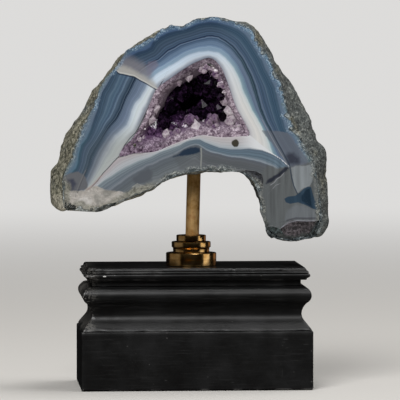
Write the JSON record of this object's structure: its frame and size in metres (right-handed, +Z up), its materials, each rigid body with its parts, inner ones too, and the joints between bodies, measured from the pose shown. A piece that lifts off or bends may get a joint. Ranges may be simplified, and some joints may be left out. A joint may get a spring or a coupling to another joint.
{
  "type": "agate geode",
  "caption": "Half agate geode, sawn flat to show blue bands and an amethyst-lined hollow, held on a brass rod above a moulded black wooden plinth.",
  "frame": {"origin": "middle of the plinth's flat underside", "axes": "+Z up, -Y out of the sawn face towards the front, +X to the right as seen from the front"},
  "size_m": [0.1916, 0.085, 0.2573],
  "materials": {
    "agate": "polished on the sawn face, rough grey-green rind behind",
    "amethyst": "natural crystal faces, partly clear",
    "brass": "turned and polished, aged",
    "painted_wood": "black paint, satin, worn and chipped"
  },
  "bodies": {
    "root": {"geode": "agate", "amethyst_crust": "amethyst", "brass_rod": "brass", "collar_flange": "brass", "collar_middle": "brass", "collar_top": "brass", "plinth_cap": "painted_wood", "plinth_moulding": "painted_wood", "plinth_block": "painted_wood"}
  },
  "joints": []
}
